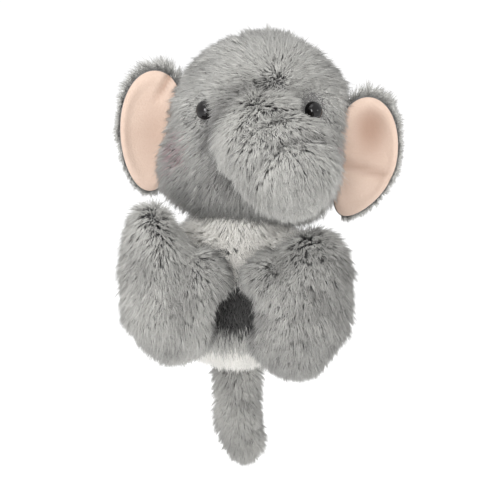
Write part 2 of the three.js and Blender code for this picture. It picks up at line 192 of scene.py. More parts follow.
def pile_tones(name, root, tip, count):
    """One pile as a row of tones: every hair takes a darker one at its foot and a paler one at its tip."""
    tones = []
    for step in range(count):
        share = step / (count - 1)
        colour = tuple(r + (t - r) * share for r, t in zip(root, tip))
        finish = Finish(f"{name}_{step + 1}", Roughness=0.78 - 0.1 * share, Sheen_Weight=0.2,
                        Sheen_Roughness=0.55, Specular_IOR_Level=0.25)
        tones.append(finish.colour(colour).material)
    return tones


def backing_finish(name, colour):
    """Knitted backing between the hairs"""
    finish = Finish(name, Roughness=0.95)
    rows = finish.node("ShaderNodeTexWave", {"wave_type": "BANDS"}, {
        "Vector": finish.object_place(), "Scale": 300.0, "Distortion": 3.0, "Detail": 2.0})
    spots = finish.noise(180, 4)
    dark = tuple(c * 0.55 for c in colour)
    finish.colour(finish.mix(spots, dark, colour))
    return finish.bump(rows + spots, 0.4 * MM, 0.6).material


def velour_finish():
    """Short peach velour with its nap brushed in soft patches"""
    finish = Finish("velour_peach", Sheen_Weight=0.35, Sheen_Roughness=0.45)
    patches = finish.noise(45, 3)
    nap = finish.noise(900, 3)
    base = finish.mix(patches, linear(178, 156, 141), linear(194, 174, 160))
    # painted shade: the velour turns darker and browner where its "hollow" attribute marks hollows and
    # creases
    painted_hollow_shade = finish.node("ShaderNodeAttribute", {"attribute_name": "hollow"}, (), "Fac")
    base = finish.mix(painted_hollow_shade, base, linear(148, 122, 106))
    finish.colour(finish.mix(nap * 0.3, base, linear(164, 134, 118)))
    finish.rough(0.72 + nap * 0.2)
    return finish.bump(nap + patches * 0.6, 0.35 * MM, 0.8).material


def woven_finish(name, dark, light, threads):
    """Plain-woven cloth with its two sets of threads"""
    finish = Finish(name)
    place = finish.object_place()

    def rows(direction):
        return finish.node("ShaderNodeTexWave", {"wave_type": "BANDS", "bands_direction": direction}, {
            "Vector": place, "Scale": threads, "Distortion": 0.6, "Detail": 1.0})

    weave = rows("Y") * rows("DIAGONAL")
    wear = finish.noise(70, 4)
    finish.colour(finish.mix((weave * 0.6 + wear * 0.5).clamp(), dark, light))
    finish.rough(0.75 + wear * 0.2)
    return finish.bump(weave + wear * 0.3, 0.25 * MM, 0.7).material


def bead_finish():
    """Polished black plastic with faint moulding swirls"""
    finish = Finish("bead_black", Specular_IOR_Level=0.35)
    swirl = finish.noise(220, 3)
    finish.colour(finish.mix(swirl, linear(6, 6, 8), linear(20, 17, 16)))
    return finish.rough(0.06 + swirl * 0.08).material


GREY_PILE = pile_tones("pile_grey", linear(80, 79, 77), linear(188, 187, 183), 6)
# painted shade: a near-black pile put in the hollow between the arms
SHADE_PILE = pile_tones("pile_painted_shade", linear(24, 23, 23), linear(64, 63, 62), 3)
WHITE_PILE = pile_tones("pile_white", linear(216, 212, 207), linear(240, 238, 233), 4)
BLUSH_PILE = pile_tones("pile_blush", linear(122, 106, 108), linear(188, 154, 158), 3)
GREY_BACKING = backing_finish("backing_grey", linear(112, 111, 110))
WHITE_BACKING = backing_finish("backing_white", linear(214, 211, 206))
VELOUR = velour_finish()
LINING = woven_finish("lining_woven", linear(116, 115, 114), linear(158, 157, 155), 500.0)
BINDING = woven_finish("binding_woven", linear(126, 125, 124), linear(172, 171, 169), 700.0)
TAPE = woven_finish("label_tape", linear(222, 221, 218), linear(246, 246, 244), 900.0)
PLASTIC = woven_finish("washer_plastic", linear(206, 206, 200), linear(232, 232, 228), 40.0)
BEAD = bead_finish()


# ---- Meshes ----

def link(name, mesh, *materials):
    """A mesh shown in the scene as a piece with its materials."""
    made = bpy.data.objects.new(name, mesh)
    bpy.context.scene.collection.objects.link(made)
    for material in materials:
        mesh.materials.append(material)
    return made


def ordered(bm):
    """The points and faces of a bmesh in a fixed order, whatever order its operators left them in."""
    spots = {v: tuple(round(c, 7) for c in v.co) for v in bm.verts}
    row = sorted(bm.verts, key=spots.get)
    rank = {v: number for number, v in enumerate(row)}
    faces = []
    for face in bm.faces:
        ring = [rank[v] for v in face.verts]
        first = ring.index(min(ring))
        faces.append(ring[first:] + ring[:first])
    return [spots[v] for v in row], sorted(faces)


def from_bmesh(name, bm, *materials):
    mesh = bpy.data.meshes.new(name)
    points, faces = ordered(bm)
    bm.free()
    mesh.from_pydata(points, [], faces)
    mesh.shade_smooth()
    return link(name, mesh, *materials)


def settle(made):
    """Applies the piece's modifiers to its mesh."""
    graph = bpy.context.evaluated_depsgraph_get()
    mesh = bpy.data.meshes.new_from_object(made.evaluated_get(graph))
    made.modifiers.clear()
    old = made.data
    made.data = mesh
    bpy.data.meshes.remove(old)
    mesh.shade_smooth()
    return made


def positions(mesh):
    flat = np.empty(len(mesh.vertices) * 3)
    mesh.vertices.foreach_get("co", flat)
    return flat.reshape(-1, 3)


def set_positions(mesh, points):
    mesh.vertices.foreach_set("co", np.ascontiguousarray(points, float).ravel())
    mesh.update()


def normals(mesh):
    flat = np.empty(len(mesh.vertices) * 3)
    mesh.vertices.foreach_get("normal", flat)
    return flat.reshape(-1, 3)


def copied(nodes, hull=False):
    """One mesh of the CAD nodes' solids, their doubles merged, or the hull round them."""
    bm = bmesh.new()
    for node in nodes:
        bm.from_mesh(frame["nodes"][node].data)
    bmesh.ops.remove_doubles(bm, verts=bm.verts, dist=0.01 * MM)
    if hull:
        made = bmesh.ops.convex_hull(bm, input=bm.verts)
        inside = made["geom_interior"] + made["geom_unused"]
        spare = {v for v in inside if isinstance(v, bmesh.types.BMVert)}
        bmesh.ops.delete(bm, geom=list(spare), context="VERTS")
        shell = set(made["geom"])
        inner = [f for f in bm.faces if f not in shell]
        bmesh.ops.delete(bm, geom=inner, context="FACES")
        bmesh.ops.recalc_face_normals(bm, faces=bm.faces)
    return bm


def inflate(made, pressure, cap):
    """Blows the closed skin up as its filling does, each point moving no further than the cap."""
    before = positions(made.data)
    cloth = made.modifiers.new("filling", "CLOTH")
    cloth.settings.use_pressure = True
    cloth.settings.uniform_pressure_force = pressure
    cloth.settings.effector_weights.gravity = 0
    cloth.settings.quality = 4
    cloth.settings.bending_stiffness = 2.0
    for number in range(1, 21):
        bpy.context.scene.frame_set(number)
    graph = bpy.context.evaluated_depsgraph_get()
    swollen = bpy.data.meshes.new_from_object(made.evaluated_get(graph))
    after = positions(swollen)
    made.modifiers.clear()
    bpy.data.meshes.remove(swollen)
    bpy.context.scene.frame_set(1)
    moved = after - before
    far = np.linalg.norm(moved, axis=1, keepdims=True)
    set_positions(made.data, before + moved * np.minimum(1, cap / np.maximum(far, 1e-9)))


def lumps(made, height, size, seed):
    """Uneven filling: slow lumps pushed along the skin."""
    points = positions(made.data)
    shift = Vector((seed * 3.7, seed * 1.3, seed * 2.1))
    push = [noise.noise(Vector(p) / size + shift) for p in points]
    set_positions(made.data, points + normals(made.data) * (np.array(push) * height)[:, None])


def form(name, nodes, material, hull=True, voxel=4 * MM, shrink=1.5 * MM, cap=4 * MM, seed=1):
    """A stuffed form: the CAD solids' outer shape, remeshed, filled and left a little uneven."""
    made = from_bmesh(name, copied(nodes, hull), material)
    remesh = made.modifiers.new("remesh", "REMESH")
    remesh.mode = "VOXEL"
    remesh.voxel_size = voxel
    settle(made)
    set_positions(made.data, positions(made.data) - normals(made.data) * shrink)
    inflate(made, 4.0, cap)
    smooth = made.modifiers.new("ease", "SMOOTH")
    smooth.factor = 0.5
    smooth.iterations = 4
    round_off = made.modifiers.new("round", "SUBSURF")
    round_off.levels = 1
    round_off.render_levels = 1
    settle(made)
    lumps(made, 1.6 * MM, 22 * MM, seed)
    return made


# ---- Pile ----

def hair_shape():
    """One closed hair of unit length and radius: a three-sided spindle, pointed at both its ends."""
    bm = bmesh.new()
    bmesh.ops.create_uvsphere(bm, u_segments=3, v_segments=2, radius=1)
    bmesh.ops.scale(bm, vec=(1, 1, 0.5), verts=bm.verts)
    bmesh.ops.translate(bm, vec=(0, 0, 0.5), verts=bm.verts)
    points, faces = ordered(bm)
    bm.free()
    return np.array(points), np.array(faces)


HAIR_POINTS, HAIR_FACES = hair_shape()
HAIR_TIP_FACES = HAIR_POINTS[HAIR_FACES][:, :, 2].mean(axis=1) > 0.5
DOWN = np.array((0.0, 0.0, -1.0))
ROOT_DEPTH = 0.8 * MM  # how far a hair's foot is sunk in its skin


def unit(vectors):
    return vectors / np.maximum(np.linalg.norm(vectors, axis=-1, keepdims=True), 1e-12)


def on_skin(vectors, normal):
    """The part of each vector that lies along the skin."""
    return vectors - normal * (vectors * normal).sum(axis=1, keepdims=True)


def scatter(mesh, count, rng, keep=None):
    """Even places on a mesh: where they are, and which way its skin faces there."""
    mesh.calc_loop_triangles()
    triangles = np.empty(len(mesh.loop_triangles) * 3, int)
    mesh.loop_triangles.foreach_get("vertices", triangles)
    triangles = triangles.reshape(-1, 3)
    points = positions(mesh)
    facing = normals(mesh)
    corners = points[triangles]
    edges = corners[:, 1:] - corners[:, :1]
    area = np.linalg.norm(np.cross(edges[:, 0], edges[:, 1]), axis=1)
    if keep is not None:
        area = area * keep(corners.mean(axis=1), facing[triangles].mean(axis=1))
    ends = np.cumsum(area)
    wanted = (np.arange(count) + rng.random(count)) / count * ends[-1]
    chosen = np.searchsorted(ends, wanted).clip(0, len(area) - 1)
    first, second = rng.random(count), rng.random(count)
    over = first + second > 1
    first[over], second[over] = 1 - first[over], 1 - second[over]
    share = np.stack([1 - first - second, first, second], axis=1)[:, :, None]
    place = (points[triangles[chosen]] * share).sum(axis=1)
    return place, unit((facing[triangles[chosen]] * share).sum(axis=1))


def from_whorl(place, centre, size):
    """A comb that leads away from a whorl, and dies out in its middle."""
    off = place - np.array(centre)
    far = np.linalg.norm(off, axis=1, keepdims=True)
    return off / np.maximum(far, 1e-9) * (1 - np.exp(-(far / size) ** 2))


def swirl(place, size, seed):
    """A slow, smooth wandering of direction over the skin."""
    shift = Vector((seed * 1.7, seed * 2.9, seed * 0.9))
    return np.array([noise.noise_vector(Vector(p) / size + shift) for p in place])


def nearest(points, targets):
    """For each point, which of the targets is nearest."""
    tree = kdtree.KDTree(len(targets))
    for index, target in enumerate(targets):
        tree.insert(target, index)
    tree.balance()
    return np.array([tree.find(p)[1] for p in points])


class Pile:
    """The hairs of one skin: gathered in locks, combed by a flow, drooping a little, ready to be cut up."""

    def __init__(self, skin, count, length, flow, seed, keep=None, trim=None, lean=(26, 64), pull=0.3,
                 droop=0.3, radius=0.25 * MM, lock_size=11, wander=0.7):
        self.rng = rng = np.random.default_rng(seed)
        self.place, self.normal = scatter(skin.data, count, rng, keep)
        locks = max(8, count // lock_size)
        lock_place, lock_normal = scatter(skin.data, locks, rng, keep)
        comb = on_skin(flow(lock_place, lock_normal), lock_normal)
        strength = np.clip(np.linalg.norm(comb, axis=1, keepdims=True), 0, 1)
        astray = swirl(lock_place, 13 * MM, seed) * wander
        comb = unit(comb) * strength + astray + rng.normal(0, 0.22, comb.shape)
        lock_lean = rng.normal(0, 0.12, (locks, 1))
        lock_long = rng.uniform(0.82, 1.12, locks)
        mine = nearest(self.place, lock_place)
        own = unit(on_skin(flow(self.place, self.normal), self.normal)) * strength[mine]
        comb_here = unit(on_skin(comb[mine] + own * 0.5 + rng.normal(0, 0.26, own.shape), self.normal))
        self.first, self.last = self.bent(
            self.normal, comb_here, lean, lock_lean[mine], strength[mine], droop)
        lock_comb = unit(on_skin(comb, lock_normal))
        first, last = self.bent(lock_normal, lock_comb, lean, lock_lean, strength, droop)
        share = lock_long[mine] * rng.uniform(0.7, 1.12, count)
        stray = rng.random(count) < 0.06
        share[stray] *= 1.2
        lock_share = lock_long * 1.05
        if trim is not None:
            share = share * trim(self.place, self.normal)
            lock_share = lock_share * trim(lock_place, lock_normal)
        self.long = length * share[:, None]
        lock_tip = lock_place + (first + last) * (length * lock_share / 2)[:, None]
        tip = self.place + (self.first + self.last) * self.long / 2
        gather = (pull * rng.uniform(0.2, 1.4, count))[:, None]
        gather[stray] *= 0.3
        reach_in = lock_tip[mine] - tip
        far = np.linalg.norm(reach_in, axis=1, keepdims=True)
        self.gather = reach_in * np.minimum(1, 0.7 * self.long / np.maximum(far, 1e-9)) * gather
        self.radius = radius
        # each lock's tone differs at random; hairs are paler where the comb is weak, as in a whorl: painted
        # light that lifts the shade among upright hairs
        self.tone = rng.normal(0, 0.35, locks)[mine] + 0.9 * (1 - strength[mine, 0])

    @staticmethod
    def bent(normal, comb, lean, more, strength, droop):
        """The directions of a hair's foot and its tip: more upright where the comb is weak, as in a whorl."""
        ends = []
        for degrees, heavy in zip(lean, (0.15, 1.0)):
            turn = (math.radians(degrees) + more) * (0.75 + 0.25 * strength)
            ends.append(unit(normal * np.cos(turn) + comb * np.sin(turn) + DOWN * droop * heavy))
        return ends

    def cut(self, name, which, tones):
        """One piece of pile: the hairs picked by the mask in one mesh, each half of a hair with its tone."""
        place, normal, first, last = (v[which] for v in (self.place, self.normal, self.first, self.last))
        long, gather, tone = (v[which] for v in (self.long, self.gather, self.tone))
        count = len(place)
        side = unit(np.cross(first, last) + 1e-6)
        other = np.cross(first, side)
        turn = self.rng.uniform(0, 2 * np.pi, (count, 1))
        across = side * np.cos(turn) + other * np.sin(turn)
        along = np.cross(first, across)
        up = HAIR_POINTS[:, 2][None, :, None]
        thick = (self.radius * self.rng.uniform(0.75, 1.25, (count, 1)))[:, :, None]
        foot = place - normal * ROOT_DEPTH
        points = foot[:, None, :] + (first * long)[:, None, :] * (up - up ** 2 / 2)
        points = points + (last * long)[:, None, :] * (up ** 2 / 2) + gather[:, None, :] * up ** 2
        points = points + across[:, None, :] * HAIR_POINTS[:, 0][None, :, None] * thick
        points = points + along[:, None, :] * HAIR_POINTS[:, 1][None, :, None] * thick
        faces = HAIR_FACES[None] + (np.arange(count) * len(HAIR_POINTS))[:, None, None]
        mesh = bpy.data.meshes.new(name)
        mesh.vertices.add(points.shape[0] * points.shape[1])
        mesh.vertices.foreach_set("co", points.ravel())
        mesh.loops.add(faces.size)
        mesh.loops.foreach_set("vertex_index", faces.ravel())
        mesh.polygons.add(faces.size // 3)
        mesh.polygons.foreach_set("loop_start", np.arange(0, faces.size, 3))
        drift = swirl(place, 16 * MM, 77)[:, 0] * 1.6
        level = (len(tones) - 1) * 0.62 + drift + tone + self.rng.normal(0, 0.55, count)
        # each hair darker at its foot and paler at its tip
        face_tone = level[:, None] + np.where(HAIR_TIP_FACES, 1.0, -1.1)[None]
        face_tone = np.clip(np.rint(face_tone), 0, len(tones) - 1).astype(int)
        mesh.polygons.foreach_set("material_index", face_tone.ravel())
        mesh.update(calc_edges=True)
        mesh.shade_smooth()
        made = link(name, mesh, *tones)
        return made


def shade_beside(pile, neighbour, reach_out, depth):
    """Darker hairs beside a neighbouring piece: painted shade where the two meet."""
    spots = positions(neighbour.data)
    nearby = spots[nearest(pile.place, spots)]
    gap = np.linalg.norm(pile.place - nearby, axis=1)
    pile.tone -= depth * np.exp(-(gap / reach_out) ** 2)


def part_fur(pile, centre, facing, radius):
    """Fur clipped short where it would lie over an eye."""
    for share in (0.55, 1.0):
        bend = share ** 2 / 2
        spot = pile.place + (pile.first * (share - bend) + pile.last * bend) * pile.long
        off = spot - np.array(centre)
        ahead = off @ np.array(facing)
        aside = np.linalg.norm(off - ahead[:, None] * np.array(facing), axis=1)
        over = (ahead > -1 * MM) & (aside < radius)
        pile.long[over] *= 0.5
        pile.gather[over] *= 0.5


def worn(pile, body, *nodes):
    """A piece of pile rides on its body and stands for its panel."""
    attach(pile, body)
    if nodes:
        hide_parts(*nodes)


# ---- Head ----

HEAD_HALF_WIDE = 48 * MM
HEAD_HALF_HIGH = 51 * MM
GUSSET_HALF_WIDE = 15 * MM


def head_frame(place):
    """Places in the head's own directions: across, front to back, up."""
    off = place - np.array(head_centre)
    backward = np.array(head_up.cross(head_side))
    return np.stack([off @ np.array(head_side), off @ backward, off @ np.array(head_up)], axis=1)


def shape_head(skin):
    """The crown set a little over to one side, and the heavy lower cheeks."""
    points = positions(skin.data)
    own = head_frame(points)
    up = own[:, 2] / HEAD_HALF_HIGH
    crown = np.clip(up, 0, 1) ** 2
    cheek = np.exp(-((up + 0.6) / 0.36) ** 2) * own[:, 0] / HEAD_HALF_WIDE
    temple = np.exp(-((up - 0.55) / 0.3) ** 2) * np.clip(own[:, 0] / (40 * MM), 0, 1)
    points[:, 0] += crown * 4 * MM + temple * 6 * MM + cheek * np.where(own[:, 0] < 0, 7, 3) * MM
    points[:, 2] += crown * 1.5 * MM
    set_positions(skin.data, points)


def build_head(trunk):
    skin = form("head_form", HEAD_NODES, GREY_BACKING, seed=1)
    shape_head(skin)
    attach(skin, "head")
    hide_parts("head_stuffing")
    whorl = np.array(head_centre + head_side * 18 * MM + head_up * 33 * MM) + (0, -29 * MM, 0)
    face = np.array(trunk_root)
    eyes = [(np.array(EYES[side]), clear) for (side, sign), clear in zip(SIDES, (1.5 * MM, 9.5 * MM))]

    def flow(place, normal):
        way = from_whorl(place, whorl, 15 * MM) + unit(place - face) * 0.55 + np.array((0, 0.1, -0.35))
        for eye, clear in eyes:
            off = place - eye
            near = np.exp(-(np.linalg.norm(off, axis=1, keepdims=True) / (10 * MM)) ** 2)
            way = way + unit(off) * near * 2.5
        return way

    def trim(place, normal):
        own = head_frame(place)
        share = 1 + 0.25 * np.clip(-own[:, 2] / (40 * MM) - 0.2, 0, 1) * (np.abs(own[:, 0]) > 20 * MM)
        for eye, clear in eyes:
            off = np.linalg.norm(place - eye, axis=1)
            share = share * np.clip((off - clear) / (12 * MM), 0.12, 1)
        return share

    def keep(place, normal):
        bald = np.zeros(len(place), bool)
        for eye, clear in eyes:
            bald |= np.linalg.norm(place - eye, axis=1) < 5.5 * MM
        under_trunk = np.linalg.norm((place - face)[:, [0, 2]], axis=1) < 13 * MM
        hidden = under_trunk & (place[:, 1] < head_centre.y)
        behind = place[:, 1] > head_centre.y + 12 * MM
        return np.where(bald | hidden, 0.02, np.where(behind, 0.75, 1.1))

    pile = Pile(skin, 92000, 13 * MM, flow, 11, keep, trim)
    part_fur(pile, EYES["right"], EYE_FACING["right"], 5.4 * MM)
    part_fur(pile, EYES["left"] - Vector((3.5 * MM, 0, 0)), EYE_FACING["left"], 3.5 * MM)
    shade_beside(pile, trunk, 15 * MM, 4.4)
    own = head_frame(pile.place)
    # painted shade: the hairs of the left lower cheek darker
    shaded_side = np.clip((-own[:, 0] - 12 * MM) / (20 * MM), 0, 1)
    pile.tone -= 0.9 * shaded_side * np.clip(0.3 - own[:, 2] / (40 * MM), 0, 1)
    half = GUSSET_HALF_WIDE
    chin_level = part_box("chin_panel")[1].z - head_centre.z - 4 * MM
    chin = (own[:, 2] < chin_level) & (own[:, 1] < 0)
    blush = blush_spots(pile.place)
    panels = {
        "head_gusset": (np.abs(own[:, 0]) < half) & ~chin,
        "head_panel_left": (own[:, 0] <= -half) & ~chin,
        "head_panel_right": (own[:, 0] >= half) & ~chin,
        "chin_panel": chin,
    }
    for node, which in panels.items():
        worn(pile.cut("pile_" + node, which & ~blush, GREY_PILE), "head", node)
    worn(pile.cut("pile_blush", blush, BLUSH_PILE), "head")


def blush_spots(place):
    """Hairs that carry the pink blush: a soft-edged patch on each cheek"""
    rng = np.random.default_rng(5)
    chosen = np.zeros(len(place), bool)
    for (side, sign), across in zip(SIDES, (39, 43)):
        spot = head_centre + head_side * sign * across * MM - head_up * 15 * MM
        off = np.linalg.norm(place - np.array(spot) - (0, -22 * MM, 0), axis=1) / (8 * MM)
        chosen |= rng.random(len(place)) < np.exp(-off ** 2) * 0.7
    return chosen


def build_eye(side, sign):
    """A domed safety eye, spun from its outline and turned to look out of the head"""
    radius = 5.7 * MM
    rise = 5 * MM
    sunk = 3.4 * MM
    bm = bmesh.new()
    outline = [(radius * math.sin(t), rise * math.cos(t)) for t in np.linspace(0, math.pi * 0.62, 10)]
    outline += [(1.5 * MM, -sunk), (0, -sunk)]
    verts = [bm.verts.new((x, 0, z)) for x, z in outline]
    edges = [bm.edges.new(pair) for pair in zip(verts, verts[1:])]
    bmesh.ops.spin(bm, geom=verts + edges, cent=(0, 0, 0), axis=(0, 0, 1), angle=2 * math.pi,
                   steps=36, use_merge=True)
    bmesh.ops.remove_doubles(bm, verts=bm.verts, dist=0.001 * MM)
    bmesh.ops.recalc_face_normals(bm, faces=bm.faces)
    facing = EYE_FACING[side]
    turn = Vector((0, 0, 1)).rotation_difference(facing).to_matrix().to_4x4()
    place = Matrix.Translation(EYES[side] + facing * 1.6 * MM) @ turn
    bmesh.ops.transform(bm, matrix=place, verts=bm.verts)
    made = from_bmesh(f"eye_bead_{side}", bm, BEAD)
    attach(made, "head")
    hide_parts(f"eye_{side}")


# ---- Neck ----

def build_neck():
    """The neck: a fur-covered tube that turns in the sleeve's opening, flared where the sleeve hides it"""
    low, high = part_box("neck_cuff")
    wall = 2 * MM
    outer = [(20.5, -15), (18.5, -11), (17.2, -6), (16.8, 0), (16.8, 12), (17.5, 20), (20, 26)]
    outline = [(r * MM, low.z + z * MM) for r, z in outer]
    outline += [(r - wall, z) for r, z in reversed(outline)]
    bm = bmesh.new()
    verts = [bm.verts.new((x, 0, z)) for x, z in outline]
    edges = [bm.edges.new((v, verts[(i + 1) % len(verts)])) for i, v in enumerate(verts)]
    bmesh.ops.spin(bm, geom=verts + edges, cent=(0, 0, 0), axis=(0, 0, 1), angle=2 * math.pi,
                   steps=48, use_merge=True)
    bmesh.ops.remove_doubles(bm, verts=bm.verts, dist=0.001 * MM)
    bmesh.ops.recalc_face_normals(bm, faces=bm.faces)
    bmesh.ops.translate(bm, vec=((low.x + high.x) / 2, (low.y + high.y) / 2, 0), verts=bm.verts)
    tube = from_bmesh("neck_tube", bm, WHITE_BACKING)
    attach(tube, "neck")
    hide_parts("neck_cuff")
    middle_y = (low.y + high.y) / 2

    def flow(place, normal):
        return normal * (0.9, 0.6, 0) + (0, -0.35, -0.6)

    def trim(place, normal):
        return np.where(normal[:, 1] < 0.3, 1.75, 1.0)

    def keep(place, normal):
        off = place - np.array(((low.x + high.x) / 2, middle_y, 0))
        outward = (off[:, :2] * normal[:, :2]).sum(axis=1) > 0
        return np.where(outward & (place[:, 2] > low.z - 3 * MM), 1.0, 0.0)

    pile = Pile(tube, 9000, 9 * MM, flow, 14, keep, trim, lean=(12, 40), droop=0.25)
    front = pile.place[:, 1] < middle_y + 4 * MM
    worn(pile.cut("pile_neck_front", front, WHITE_PILE), "neck")
    worn(pile.cut("pile_neck_back", ~front, GREY_PILE), "neck")


# ---- Trunk ----

def build_trunk():
    skin = form("trunk_form", TRUNK_NODES + ["trunk_stuffing"], GREY_BACKING, hull=False,
                voxel=3.5 * MM, seed=2)
    root = np.array(trunk_root)
    tip = (trunk_low.x + trunk_high.x) / 2 + 12 * MM, trunk_low.y + 22 * MM, trunk_low.z + 20 * MM
    run = unit(np.array(tip) - root)
    points = positions(skin.data)
    along = (points - root) @ run
    facing = normals(skin.data)
    for where, depth in ((23 * MM, 2.6 * MM), (41 * MM, 1.8 * MM)):
        points = points - facing * (np.exp(-((along - where) / (3.2 * MM)) ** 2) * depth)[:, None]
    bulge = np.exp(-((along - 40 * MM) / (20 * MM)) ** 2)
    points[:, 0] += bulge * np.clip((points[:, 0] - root[0]) / (40 * MM), 0, 1) * 7 * MM
    set_positions(skin.data, points)
    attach(skin, "trunk")
    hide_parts("trunk_stuffing")
    whorl = np.array((trunk_root.x, trunk_root.y, trunk_root.z + 16 * MM))
    eye = np.array(EYES["left"])

    def flow(place, normal):
        way = from_whorl(place, whorl, 8 * MM) * 0.5 + np.array((0.12, -0.3, -0.9))
        off = eye - place
        near = np.exp(-(np.linalg.norm(off, axis=1, keepdims=True) / (17 * MM)) ** 2)
        return way + unit(off) * near * 2.2

    def trim(place, normal):
        off = np.linalg.norm(place - eye, axis=1)
        return 1 + 0.5 * np.exp(-(off / (20 * MM)) ** 2)

    pile = Pile(skin, 36000, 12 * MM, flow, 12, None, trim, droop=0.2)
    part_fur(pile, EYES["right"], EYE_FACING["right"], 6.5 * MM)
    part_fur(pile, EYES["right"], Vector((0, -1, 0.14)).normalized(), 6.5 * MM)
    far = (pile.place - root) @ run
    pile.tone += 0.45
    # painted shade: darker hairs along the two creases, and darkest at the trunk's root where it meets the
    # head
    for where, depth in ((23 * MM, 1.6), (41 * MM, 2.4)):
        pile.tone -= depth * np.exp(-((far - where) / (3 * MM)) ** 2)
    pile.tone -= 2.6 * np.clip((5 * MM - far) / (8 * MM), 0, 1)
    top = (pile.place - root) @ np.array((0, 0.41, 0.91)) > 0
    for node, which in (("trunk_top_panel", top), ("trunk_under_panel", ~top)):
        worn(pile.cut("pile_" + node, which, GREY_PILE), "trunk", node)
    return skin


# ---- Arms ----

ARM_HALF_WIDE = 25.5 * MM
ARM_HALF_HIGH = 43 * MM
# how far each arm's top is raised outside, lowered inside and widened
ARM_TOP = {"left": (13 * MM, 11 * MM, -1 * MM), "right": (2 * MM, 7 * MM, 3 * MM)}


def build_arm(side, sign, seed):
    nodes = [f"arm_outer_panel_{side}", f"arm_inner_panel_{side}"]
    skin = form(f"arm_form_{side}", nodes, GREY_BACKING, seed=seed)
    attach(skin, f"arm_{side}")
    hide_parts(f"arm_stuffing_{side}", f"arm_finger_stall_{side}")
    low, high = reach(*nodes)
    centre = (low + high) / 2
    shape_arm(skin, side, sign, centre)
    whorl = np.array((centre.x - 8 * MM, low.y + 8 * MM, centre.z - 6 * MM))
    crown = np.array((centre.x - sign * 4 * MM, centre.y + 14 * MM, high.z))

    def flow(place, normal):
        near = np.exp(-(np.linalg.norm(place - whorl, axis=1, keepdims=True) / (24 * MM)) ** 2)
        down = from_whorl(place, crown, 16 * MM) + np.array((0, 0, -0.3))
        return down * (1 - 0.3 * near) + from_whorl(place, whorl, 10 * MM) * near * 0.35

    def facing_hollow(place, normal):
        inward = np.clip(-normal[:, 0] * sign * 1.6, 0, 1)
        behind_front = np.clip((place[:, 1] - low.y - 14 * MM) / (8 * MM), 0, 1)
        return inward * behind_front * hollow_depth(place)

    def trim(place, normal):
        return (1 - 0.5 * facing_hollow(place, normal)) * (1 - 0.3 * np.clip(-normal[:, 2], 0, 1))

    pile = Pile(skin, 36000, 13 * MM, flow, seed, None, trim)
    # painted shade: the arm's hairs darker, the right arm's most
    pile.tone -= 0.5 if side == "left" else 1.3
    outer = (pile.place[:, 0] - centre.x) * sign > 0
    # darker hairs on the arm's inner side where it faces into the hollow: painted shade
    pile.tone -= 2.6 * facing_hollow(pile.place, pile.normal)
    worn(pile.cut(f"pile_arm_outer_{side}", outer, GREY_PILE), f"arm_{side}",
         f"arm_outer_panel_{side}")
    worn(pile.cut(f"pile_arm_inner_{side}", ~outer, GREY_PILE), f"arm_{side}",
         f"arm_inner_panel_{side}")


def shape_arm(skin, side, sign, centre):
    """An arm plumped towards the other above and below the hollow, and drawn in at its outer foot."""
    points = positions(skin.data)
    inner = np.clip(-(points[:, 0] - centre.x) * sign / (25 * MM), 0, 1)
    ahead = np.clip((-70 * MM - points[:, 1]) / (20 * MM), 0, 1)
    for level, amount in ((17 * MM, 5.5 * MM), (-24 * MM, 5 * MM)):
        beside = np.exp(-((points[:, 2] - level) / (11 * MM)) ** 2)
        points[:, 0] -= sign * amount * inner * ahead * beside
    below = np.clip((centre.z - 12 * MM - points[:, 2]) / (30 * MM), 0, 1)
    outer = np.clip((points[:, 0] - centre.x) * sign / (25 * MM), 0, 1)
    points[:, 0] -= sign * 6 * MM * outer * below
    points[:, 2] += 5 * MM * below
    high_share = (points[:, 2] - centre.z) / ARM_HALF_HIGH
    wide_share = (points[:, 0] - centre.x) * sign / ARM_HALF_WIDE
    round_it = np.degrees(np.arctan2(high_share, wide_share))
    shoulder = np.exp(-((round_it - 50) / 26) ** 2)
    slope = np.exp(-((round_it - 114) / 26) ** 2)
    raised, lowered, widened = ARM_TOP[side]
    points[:, 2] += ahead * (shoulder * raised - slope * lowered)
    points[:, 0] += ahead * sign * shoulder * widened
    set_positions(skin.data, points)


def hollow_depth(place, half_wide=60 * MM):
    """How deep a place lies in the hollow between the arms, in front of the chest: 1 in its middle"""
    off = (place[:, 2] + 4 * MM) / (19 * MM)
    aside = place[:, 0] / half_wide
    return np.clip(2 * (1 - np.sqrt(off ** 2 + aside ** 2)), 0, 1)


# ---- Ears ----

EAR_LOBE_SWEEP = {"left": 0 * MM, "right": 9 * MM}
EAR_OUT = {"left": 12 * MM, "right": 17 * MM}


def ear_pad(name, side, sign, half_wide, half_high, thick, forward, material):
    """A padded oval cupped forward, with its fold or hollow, and its lobe swung in under the cheek"""
    hinge = Vector(joints[f"ear_flap_{side}"]["pos_m"])
    centre = hinge + head_side * sign * EAR_OUT[side] - Vector((0, forward, 0))
    bm = bmesh.new()
    bmesh.ops.create_uvsphere(bm, u_segments=56, v_segments=36, radius=1)
    made = from_bmesh(name, bm, material)
    ball = positions(made.data)
    across, deep, up = ball[:, 0] * sign, ball[:, 1], ball[:, 2]
    cup = 7 * MM * (up ** 2 + 2 * across ** 2) / 3 + fold(side, across, up)
    swept = across * half_wide * (1 + 0.12 * up) - EAR_LOBE_SWEEP[side] * np.clip(-up, 0, 1) ** 2
    points = np.array(centre) + np.outer(sign * swept, np.array(head_side))
    points = points + np.outer(up * half_high, np.array(head_up))
    points[:, 1] += deep * thick / 2 - cup
    set_positions(made.data, points)
    # how deep the skin lies in its hollows and creases, which the velour shows as painted shade
    hollow = made.data.attributes.new("hollow", "FLOAT", "POINT")
    hollow.data.foreach_set("value", np.clip(-fold(side, across, up) / (4.2 * MM), 0, 1))
    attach(made, f"ear_{side}")
    return made


